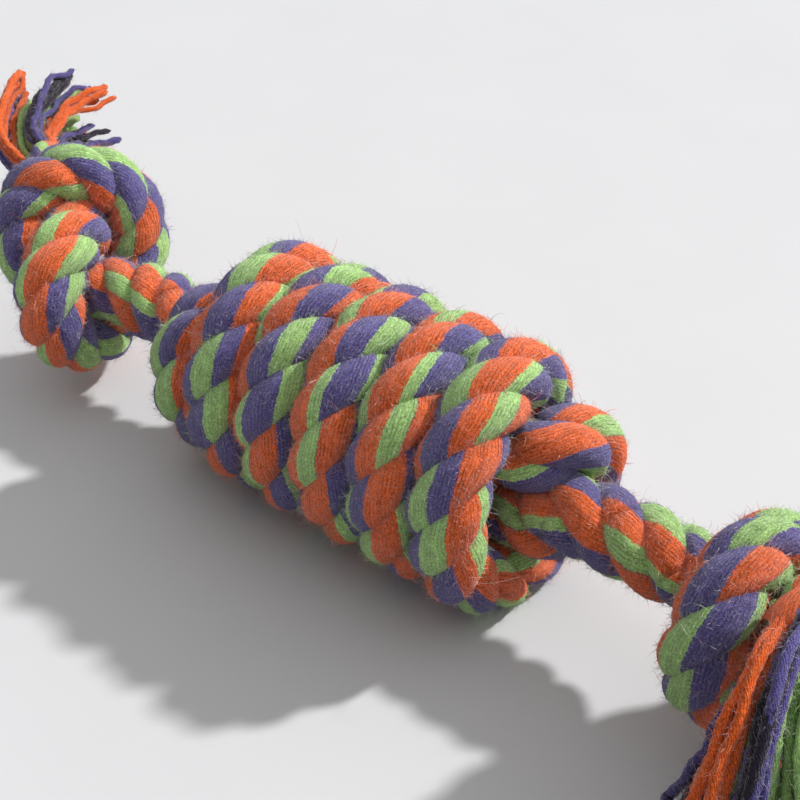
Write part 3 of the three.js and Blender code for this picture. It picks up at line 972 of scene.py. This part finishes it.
def yarn_tube(places, radius, number, twist_length):
    """One loose yarn: a ring stands square to its middle line at each step, and its radius grows and
    shrinks by a cosine of three times the turn, so that the plies show as lobes that twist."""
    tangent = unit(np.gradient(places, axis=0))
    side = unit(np.cross(YARN_ASIDE, tangent))
    up = np.cross(tangent, side)
    run = run_along(places)[:, None]
    around = 2 * np.pi * np.arange(YARN_SIDES)[None, :] / YARN_SIDES
    lobes = np.cos(PLY_COUNT * around + 2 * np.pi * run / twist_length)
    size = radius[:, None] * (1 + PLY_LOBE_SHARE * lobes)
    offset = (size * np.cos(around))[..., None] * side[:, None]
    offset += (size * np.sin(around))[..., None] * up[:, None]
    return places[:, None] + offset, *pattern_maps(run, YARN_SIDES, twist_length, number)


def yarn_waves(size, share, chance):
    """Two directions' waves along a loose yarn, each a sum of sines that starts from nothing."""
    waves = np.zeros((2, YARN_STEPS))
    for axis in range(2):
        for beats in WAVE_BEATS:
            phase = chance.uniform(0, 2 * np.pi)
            height = chance.uniform(*WAVE_SHARES) / beats ** WAVE_CALMING
            waves[axis] += height * np.sin(2 * np.pi * beats * share + phase) - height * np.sin(phase)
    return waves * size * WAVE_SIZE_SHARE * np.minimum(share * WAVE_RISE, 1)


def bundle_yarns(rope, sizes, strand, bundle, end, chance):
    """The yarns of one bundle: spread like seeds in a flower head across it, wider towards the tip,
    each with waves of its own and its own length, and thinned at its end."""
    middle, tangent, side, up, share = bundle_frame(rope, strand, bundle, end)
    tubes = []
    for number in range(sizes.yarns):
        turn = number * SEED_TURN + chance.uniform(0, SEED_STRAY)
        spread = math.sqrt((number + 0.5) / sizes.yarns)
        reach = (BUNDLE_START_SHARE + BUNDLE_GROWTH_SHARE * share) * BUNDLE_TIP_RADIUS * spread
        waves = yarn_waves(sizes.wave, share, chance)
        across = reach * np.cos(turn) + waves[0]
        lift = reach * np.sin(turn) + waves[1]
        places = middle + across[:, None] * side + lift[:, None] * up
        floor = -toy_origin()[2] + sizes.yarn_diameter * FLOOR_GAP_SHARE
        places[:, 2] = np.maximum(places[:, 2], floor)
        length_share = chance.uniform(*YARN_LENGTH_SHARES)
        cut = np.linspace(-ROOT_SHARE, length_share, YARN_STEPS)
        places = read_between(cut, share, places)
        places += np.minimum(cut, 0)[:, None] * TASSEL_LENGTH * tangent[:1]
        over = np.maximum(cut - 1, 0)[:, None] * TASSEL_LENGTH
        places += over * unit(middle[-1] - middle[-2])
        grown = np.clip(cut / GROWN_SHARE, ROOT_WIDTH_SHARE, 1)
        ends = np.clip((length_share - cut) / TIP_SHARE, 0, 1) ** 0.5
        ends = ends * (1 - TIP_WIDTH_SHARE) + TIP_WIDTH_SHARE
        radius = sizes.yarn_diameter / 2 * grown * ends * chance.uniform(*YARN_WIDTH_SHARES)
        twist_length = PLY_TWIST_LENGTH * chance.uniform(*PLY_TWIST_SHARES)
        tubes.append(yarn_tube(places, radius, number + strand * STRAND_YARN_NUMBERS, twist_length))
    return tubes


# Stray fibres


def leaning(ahead, beside, chance):
    """For each fibre a chance direction between the two that lie along the surface."""
    turn = chance.uniform(0, 2 * np.pi, len(ahead))[:, None]
    return np.cos(turn) * ahead + np.sin(turn) * beside


def fibre_dye(dye, count, chance):
    """The yarns' dye for each fibre, some darker, some paler and worn towards white."""
    least, more = FIBRE_WORN_SHARES
    mixed = dye * chance.uniform(*FIBRE_DYE_SHARES, count)[:, None]
    worn = (least + more * chance.random(count) ** 2)[:, None]
    return mixed + (np.array(linear(WORN_COTTON)) - mixed) * worn


def fibre_object(name, roots, outward, sideways, dye, sizes, lot, chance):
    """Curled fibres: each starts under the surface, leans over and bends back, and is a thin
    three-sided spike that tapers to its tip. Those that would reach under the floor are left out."""
    count = len(roots)
    rings = lot["rings"]
    t = np.linspace(0, 1, rings)[None, :, None]
    length = (lot["longest_share"] - lot["shortest_share"]) * chance.random(count) ** FIBRE_SHORTNESS
    length = sizes.length * (lot["shortest_share"] + length)[:, None, None]
    lift = chance.uniform(*FIBRE_LIFT_SHARES, count)[:, None, None]
    bend = chance.normal(0, FIBRE_BEND_SHARE, (count, 1, 1))
    third = np.cross(outward, sideways)[:, None]
    path = outward[:, None] * lift * (t - FIBRE_DROOP_SHARE * t ** 2) + third * bend * t ** 2
    path += sideways[:, None] * t * (1 - FIBRE_SHRINK_SHARE * t)
    places = roots[:, None] + length * path - outward[:, None] * sizes.thickness
    above = places[..., 2].min(axis=1) + toy_origin()[2] > sizes.thickness
    places, outward, third, dye = places[above], outward[above], third[above], dye[above]
    taper = sizes.thickness / 2 * (1 - FIBRE_TAPER_SHARE * t ** 2)
    corners = []
    for corner in range(FIBRE_SIDES):
        turn = 2 * np.pi * corner / FIBRE_SIDES
        corners.append(places + taper * (np.cos(turn) * outward[:, None] + np.sin(turn) * third))
    vertices = np.stack(corners, axis=2).reshape(-1, 3)
    each = FIBRE_SIDES * rings
    first = each * np.arange(len(places))[:, None, None]
    ring = np.arange(FIBRE_SIDES)
    quads = (grid_faces(rings, FIBRE_SIDES, 0) + first).reshape(-1, 4)
    caps = (np.array([ring[::-1], each - FIBRE_SIDES + ring]) + first).reshape(-1, FIBRE_SIDES)
    made = mesh_object(name, vertices, [quads, caps])
    layer = made.data.color_attributes.new("dye", "FLOAT_COLOR", "POINT")
    colours = np.repeat(np.column_stack([dye, np.ones(len(places))]), each, axis=0)
    layer.data.foreach_set("color", colours.astype(np.float32).ravel())
    return made


def dye_at(context, rope, along, strand, around):
    """The dye of the yarn that lies at these places on the strands, as the rope's material picks it."""
    stops = strand_sectors(context.scene.toy_colours)
    starts = np.array([s for s, _ in stops])
    colours = np.array([c for _, c in stops])
    turn = np.mod(around / (2 * np.pi) + along / rope.sizes.yarn_twist, 1)
    return colours[np.searchsorted(starts, (strand + turn) / STRAND_COUNT, side="right") - 1]


def rope_fibres(context, rope, name, limits, lot, chance):
    """Stray fibres over the outer half of the strands between two places along the rope."""
    sizes = context.scene.toy_fibres
    start, end = limits
    count = int((end - start) / (sizes.spacing * lot["rarity"]))
    along = chance.uniform(start, end, count)
    strand = chance.integers(0, STRAND_COUNT, count)
    around = chance.uniform(-FIBRE_REACH_ROUND, FIBRE_REACH_ROUND, count)
    here = strand_section(rope, along, strand, around)
    ahead = strand_section(rope, along + PROBE_RUN, strand, around) - here
    beside = strand_section(rope, along, strand, around + PROBE_TURN) - here
    outward = unit(np.cross(beside, ahead))
    outward *= np.sign(((here - rope.at(along, rope.place)) * outward).sum(1))[:, None]
    ahead = unit(ahead)
    sideways = leaning(ahead, np.cross(outward, ahead), chance)
    dye = fibre_dye(dye_at(context, rope, along, strand, around), count, chance)
    shown = (outward * rope.at(along, rope.away)).sum(1) > FIBRE_HIDDEN_SHARE
    shown |= ~((along > rope.start["winding"]) & (along < rope.end["winding"]))
    rows = [values[shown] for values in (here, outward, sideways, dye)]
    return fibre_object(name, *rows, sizes, lot, chance)


def fibre_pieces(context, rope, name, limits, parts, chance):
    """Short and long stray fibres of one stretch, shared out over a few objects."""
    pieces = []
    if parts == 0:
        return pieces
    cuts = np.linspace(*limits, parts + 1)
    for number, part in enumerate(zip(cuts[:-1], cuts[1:]), 1):
        pieces.append(rope_fibres(context, rope, f"{name}_fuzz_{number}", part, SHORT_FIBRES, chance))
    pieces.append(rope_fibres(context, rope, f"{name}_long_fibres", limits, LONG_FIBRES, chance))
    return pieces


def yarn_fuzz(context, tubes, colour, chance):
    """Where stray fibres stand on the loose yarns of a bundle: their roots, the two directions that
    each leans between, and their dye."""
    rows = []
    for number, (places, *_) in enumerate(tubes):
        dark = colour == "purple" and number < len(tubes) // 2
        dye = np.array(getattr(context.scene.toy_colours, "charcoal" if dark else colour))
        ring = chance.integers(1, len(places) - 1, YARN_FIBRES)
        side = chance.integers(0, places.shape[1], YARN_FIBRES)
        here = places[ring, side]
        ahead = places[ring + 1, side] - here
        outward = unit(here - places[ring].mean(axis=1))
        roots = here + ahead * chance.random(YARN_FIBRES)[:, None]
        ahead = unit(ahead)
        sideways = leaning(ahead, np.cross(outward, ahead), chance)
        rows.append((roots, outward, sideways, fibre_dye(dye, YARN_FIBRES, chance)))
    return [np.vstack(r) for r in zip(*rows)]


# Operators


def along_where(rope, name, distance):
    """Where along the rope a right or left stretch first lies this far from the toy's middle."""
    gap = np.where(rope.within(name), np.abs(np.abs(rope.place[:, 0]) - distance), np.inf)
    return rope.along[np.argmin(gap)]


def on_axis(rope, start, end):
    """The two places on the toy's axis that a stretch of the neck bends between."""
    places = rope.at(np.array([start, end]), rope.place) + toy_origin()
    first, last = places * (1, 0, 0)
    return {"start": tuple(first), "end": tuple(last)}


class Stretch(NamedTuple):
    """One piece of the laid rope: the group that it is made with, its name, the node that it stands
    for, its limits along the rope, its bodies, where it bends if there are two, the name and the
    limits of its stray fibres, and its slot in the record."""

    group: str
    name: str
    node: str
    limits: tuple
    bodies: tuple
    bend: dict
    fibres: str
    hairy: tuple
    slot: str = "three_colour_rope"


def end_stretches(rope, end):
    """The pieces of one end, from the core inside the winding to the tail."""
    name = end.name
    knot, link, tassel = f"{name}_end_knot", f"{name}_neck_link", f"{name}_tassel"
    near, far, way = (rope.end, rope.start, -1) if end.mirrored else (rope.start, rope.end, 1)
    start = neck_start(rope.diameter)
    root = along_where(rope, f"{name}_core", FULL_TURNS * rope.diameter / 2)
    inner = along_where(rope, f"{name}_core", start - NECK_BLEND_REACH)
    outer = along_where(rope, f"{name}_knot", start + NECK_LENGTH + NECK_BLEND_REACH)
    middle = far[f"{name}_core"] + way * NECK_LENGTH / 2
    last = far[f"{name}_knot"]
    core = (inner, near[f"{name}_core"])
    tail = (last, last + way * TAIL_LENGTH)
    leaving = rope.at(np.array([last]), rope.place)[0] + toy_origin()
    square = {"start": tuple(leaving), "end": tuple(leaving + end.out * TAIL_LENGTH)}
    pieces = [Stretch(
        "cores", f"core_rope_strands_to_{name}_end", f"core_rope_to_{name}_end", core, ("barrel",),
        None, f"{name}_core", (inner, root), "rope_core")]
    for group, part, limits, bodies, bend in (
        ("necks", "neck_inner", (inner, middle), ("barrel", link), on_axis(rope, inner, middle)),
        ("necks", "neck_outer", (middle, outer), (link, knot), on_axis(rope, middle, outer)),
        ("knots", "knot", (outer, last), (knot,), None),
        ("tails", "tail", tail, (knot, tassel), square),
    ):
        node_name = f"{name}_{part.split('_')[0]}"
        stem = f"{name}_{part}"
        pieces.append(Stretch(group, f"{stem}_strands", node_name, limits, bodies, bend, stem, limits))
    return pieces


def stretches(rope):
    """All pieces of the laid rope."""
    winding = (rope.start["winding"], rope.end["winding"])
    barrel = Stretch(
        "barrel", "barrel_winding_strands", "barrel_winding", winding, ("barrel",), None, "barrel",
        winding)
    return [barrel, *(piece for end in ENDS for piece in end_stretches(rope, end))]


def lay_strands(context, group):
    """Lays the three strands of every stretch of a group."""
    rope = Rope(context.scene.toy_rope)
    material = material_of(context, laid_cotton_rope)
    for stretch in stretches(rope):
        if stretch.group == group:
            start, end = sorted(stretch.limits)
            tubes = [strand_grid(rope, start, end, k) for k in range(STRAND_COUNT)]
            piece = tube_object(stretch.name, tubes)
            finished(piece, material, stretch.slot, stretch.bodies, stretch.bend, [stretch.node])
    return {"FINISHED"}


class MakeBarrel(bpy.types.Operator):
    """Lays the three strands of the barrel winding"""

    bl_idname = "rope_toy.make_barrel"
    bl_label = "Barrel winding"

    def execute(self, context):
        return lay_strands(context, "barrel")


class MakeCores(bpy.types.Operator):
    """Lays the two runs of rope inside the winding"""

    bl_idname = "rope_toy.make_cores"
    bl_label = "Core ropes"

    def execute(self, context):
        return lay_strands(context, "cores")


class MakeNecks(bpy.types.Operator):
    """Lays each bare neck as two pieces, one bending at each of its hinges"""

    bl_idname = "rope_toy.make_necks"
    bl_label = "Necks"

    def execute(self, context):
        return lay_strands(context, "necks")


class MakeKnots(bpy.types.Operator):
    """Lays the three strands of each end knot"""

    bl_idname = "rope_toy.make_knots"
    bl_label = "End knots"

    def execute(self, context):
        return lay_strands(context, "knots")


class MakeTails(bpy.types.Operator):
    """Lays the strands of each tail, bending between the knot and the tassel"""

    bl_idname = "rope_toy.make_tails"
    bl_label = "Tails"

    def execute(self, context):
        return lay_strands(context, "tails")


class MakeTassels(bpy.types.Operator):
    """Spreads the loose yarns of both frayed ends, with their stray fibres"""

    bl_idname = "rope_toy.make_tassels"
    bl_label = "Tassels"

    def execute(self, context):
        rope = Rope(context.scene.toy_rope)
        sizes = context.scene.toy_tassel
        chance = np.random.default_rng(TASSEL_SEED)
        for end in ENDS:
            body = f"{end.name}_tassel"
            fuzz = {colour: [] for colour in BUNDLE_COLOURS}
            for strand in range(STRAND_COUNT):
                for bundle, colour in enumerate(BUNDLE_COLOURS):
                    node_name = f"{body}_strand_{strand + 1}_{colour}"
                    tubes = bundle_yarns(rope, sizes, strand, bundle, end, chance)
                    piece = tube_object(f"{node_name}_yarns", tubes)
                    material = material_of(context, loose_cotton_yarn, colour)
                    finished(piece, material, f"{colour}_yarn", (body,), nodes=[node_name])
                    if colour == "purple":
                        shade_some_dark(context, piece, sizes.yarns)
                    fuzz[colour].append(yarn_fuzz(context, tubes, colour, chance))
            for colour, rows in fuzz.items():
                rows = [np.vstack(r) for r in zip(*rows)]
                name = f"{body}_{colour}_fuzz"
                piece = fibre_object(name, *rows, context.scene.toy_fibres, SHORT_FIBRES, chance)
                finished(piece, material_of(context, stray_cotton_fibre), f"{colour}_yarn", (body,))
        return {"FINISHED"}


def shade_some_dark(context, piece, yarns):
    """The inner purple yarns of a frayed end are the darker, charcoal ones."""
    piece.data.materials.append(material_of(context, loose_cotton_yarn, "charcoal"))
    sides = len(piece.data.polygons) - 2 * yarns
    dark = yarns // 2
    index = np.zeros(len(piece.data.polygons), np.int32)
    index[:sides // yarns * dark] = 1
    index[sides:sides + 2 * dark] = 1
    piece.data.polygons.foreach_set("material_index", index)


class MakeFibres(bpy.types.Operator):
    """Scatters stray cotton fibres over the rope"""

    bl_idname = "rope_toy.make_fibres"
    bl_label = "Stray fibres"

    def execute(self, context):
        rope = Rope(context.scene.toy_rope)
        chance = np.random.default_rng(FIBRE_SEED)
        material = material_of(context, stray_cotton_fibre)
        for stretch in stretches(rope):
            limits = sorted(stretch.hairy)
            parts = FIBRE_PIECES[stretch.group]
            for piece in fibre_pieces(context, rope, stretch.fibres, limits, parts, chance):
                finished(piece, material, stretch.slot, stretch.bodies, stretch.bend)
        return {"FINISHED"}


def add_lamp(scene, name, direction, angle, strength):
    """A far lamp that shines from a direction; the wider its angle, the softer its shadows."""
    lamp = bpy.data.lights.new(name, "SUN")
    lamp.energy = strength
    lamp.angle = angle
    holder = bpy.data.objects.new(name, lamp)
    holder.rotation_euler = Vector(direction).to_track_quat("Z", "Y").to_euler()
    scene.collection.objects.link(holder)


def studio_room():
    """The room's soft even light, and a pale backdrop where the camera looks past the floor."""
    world = bpy.data.worlds.new("studio_room")
    world.use_nodes = True
    tree = world.node_tree
    tree.nodes.clear()
    seen = node(tree, "LightPath").outputs["Is Camera Ray"]
    strength = node(tree, "MapRange", {0: seen, 3: FILL_STRENGTH, 4: BACKDROP_STRENGTH})
    back = node(tree, "Background", ((*linear("#F6F7FA"), 1), strength))
    node(tree, "OutputWorld", (back,))
    return world


def photo_camera(scene):
    """The camera, where the photo was taken from."""
    camera = bpy.data.cameras.new("photo_camera")
    camera.lens = CAMERA_LENS
    camera.sensor_width = SENSOR_WIDTH
    camera.clip_start = CAMERA_NEAR
    holder = bpy.data.objects.new("photo_camera", camera)
    holder.location = np.array(CAMERA_PLACE) + toy_origin() * (1, 1, 0)
    holder.rotation_euler = (CAMERA_TILT, 0, CAMERA_TURN)
    scene.collection.objects.link(holder)
    return holder


class SetStage(bpy.types.Operator):
    """Sets the pale floor, the light and the camera"""

    bl_idname = "rope_toy.set_stage"
    bl_label = "Floor, light and camera"

    def execute(self, context):
        scene = context.scene
        reach = FLOOR_REACH
        mesh = bpy.data.meshes.new("studio_floor")
        corners = [(-reach, -reach, 0), (reach, -reach, 0), (reach, reach, 0), (-reach, reach, 0)]
        mesh.from_pydata(corners, [], [(0, 1, 2, 3)])
        mesh.materials.append(material_of(context, pale_studio_board))
        floor = bpy.data.objects.new("studio_floor", mesh)
        scene.collection.objects.link(floor)
        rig.stage(floor)
        add_lamp(scene, "window_light", WINDOW_DIRECTION, WINDOW_ANGLE, WINDOW_STRENGTH)
        add_lamp(scene, "ceiling_light", CEILING_DIRECTION, CEILING_ANGLE, CEILING_STRENGTH)
        scene.world = studio_room()
        scene.view_settings.view_transform = "Standard"
        scene.camera = photo_camera(scene)
        return {"FINISHED"}


class RopeToyPanel(bpy.types.Panel):
    """Lists the toy's pieces in the sidebar"""

    bl_idname = "VIEW3D_PT_rope_toy"
    bl_label = "Rope Toy"
    bl_space_type = "VIEW_3D"
    bl_region_type = "UI"
    bl_category = "Rope Toy"

    def draw(self, context):
        scene = context.scene
        for group in (scene.toy_rope, scene.toy_tassel, scene.toy_fibres, scene.toy_colours):
            box = self.layout.box()
            for name in group.__annotations__:
                box.prop(group, name)
        for operator in OPERATORS:
            self.layout.operator(operator.bl_idname)


GROUPS = {
    "toy_rope": RopeSizes,
    "toy_tassel": TasselSizes,
    "toy_fibres": FibreSizes,
    "toy_colours": YarnColours,
}
OPERATORS = (
    MakeBarrel,
    MakeCores,
    MakeNecks,
    MakeKnots,
    MakeTails,
    MakeTassels,
    MakeFibres,
    SetStage,
)


def register():
    """Registers the classes and hangs the settings on the scene."""
    for made in (*GROUPS.values(), *OPERATORS, RopeToyPanel):
        bpy.utils.register_class(made)
    for name, group in GROUPS.items():
        setattr(bpy.types.Scene, name, PointerProperty(type=group))


def unregister():
    """Takes the settings and classes away again."""
    for name in GROUPS:
        delattr(bpy.types.Scene, name)
    for made in (RopeToyPanel, *OPERATORS[::-1], *GROUPS.values()):
        bpy.utils.unregister_class(made)


def main():
    """Makes every piece in order and writes both outer boxes."""
    register()
    bpy.ops.rope_toy.make_barrel()
    bpy.ops.rope_toy.make_cores()
    bpy.ops.rope_toy.make_necks()
    bpy.ops.rope_toy.make_knots()
    bpy.ops.rope_toy.make_tails()
    bpy.ops.rope_toy.make_tassels()
    bpy.ops.rope_toy.make_fibres()
    bpy.ops.rope_toy.set_stage()
    boxes = {
        "cad": [list(map(float, c)) for c in cad_box],
        "visual": [list(map(float, c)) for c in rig.bounds()],
    }
    with open("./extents.json", "w") as file:
        json.dump(boxes, file)


if __name__ == "__main__":
    main()
